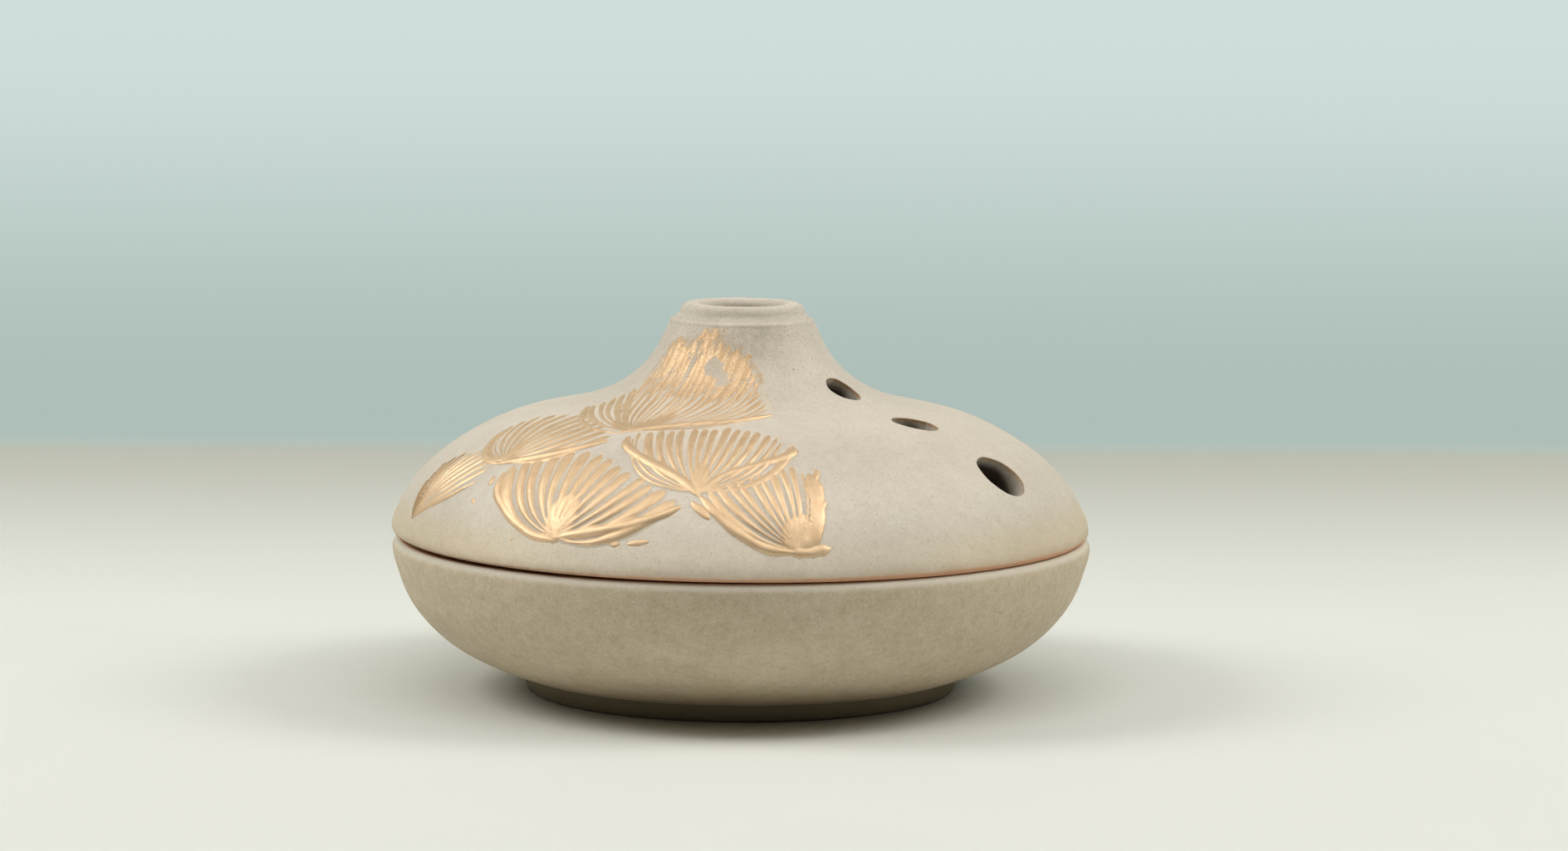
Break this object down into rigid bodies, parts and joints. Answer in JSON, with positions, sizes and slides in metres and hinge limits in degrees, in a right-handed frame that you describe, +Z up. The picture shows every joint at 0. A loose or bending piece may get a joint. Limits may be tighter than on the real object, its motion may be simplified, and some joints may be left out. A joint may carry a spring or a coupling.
{
  "type": "incense burner",
  "caption": "Round lidded stoneware incense burner: footed bowl, domed lid with a short chimney and smoke vents, gilt leaf motif, and an inner mat, coil holder and incense coil.",
  "frame": {"origin": "centre of the foot ring's resting plane", "axes": "+Z up along the turned axis, +X towards the side with the vents, -Y the front with the leaf motif"},
  "size_m": [0.1201, 0.12, 0.0667],
  "materials": {
    "stoneware_bowl": "matte unglazed stoneware",
    "stoneware_lid": "matte unglazed stoneware, finely speckled",
    "gilding": "brushed-on gold, satin, worn at the stroke ends",
    "fibre_felt": "needled heat-resistant felt",
    "holder_brass": "satin turned brass",
    "incense_paste": "dry pressed wood-powder paste"
  },
  "bodies": {
    "bowl": {"bowl": "stoneware_bowl"},
    "lid": {"lid": "stoneware_lid", "gilt_motif": "gilding"},
    "fibre_mat": {"fibre_mat": "fibre_felt"},
    "coil_holder": {"holder_base": "holder_brass", "holder_post": "holder_brass"},
    "clamp_nut": {"holder_clamp_nut": "holder_brass"},
    "incense_coil": {"incense_coil": "incense_paste"}
  },
  "joints": [
    {"name": "lid_lift", "type": "slide", "parent": "bowl", "child": "lid", "axis": [0, 0, 1], "range_m": [0, 0.09]},
    {"name": "mat_lift", "type": "slide", "parent": "bowl", "child": "fibre_mat", "axis": [0, 0, 1], "range_m": [0, 0.006]},
    {"name": "holder_lift", "type": "slide", "parent": "fibre_mat", "child": "coil_holder", "axis": [0, 0, 1], "range_m": [0, 0.006]},
    {"name": "clamp_nut_turn", "type": "hinge", "parent": "coil_holder", "child": "clamp_nut", "pos_m": [0, 0, 0.014], "axis": [0, 0, 1], "range_deg": [0, 270]},
    {"name": "coil_lift", "type": "slide", "parent": "coil_holder", "child": "incense_coil", "axis": [0, 0, 1], "range_m": [0, 0.006]}
  ]
}
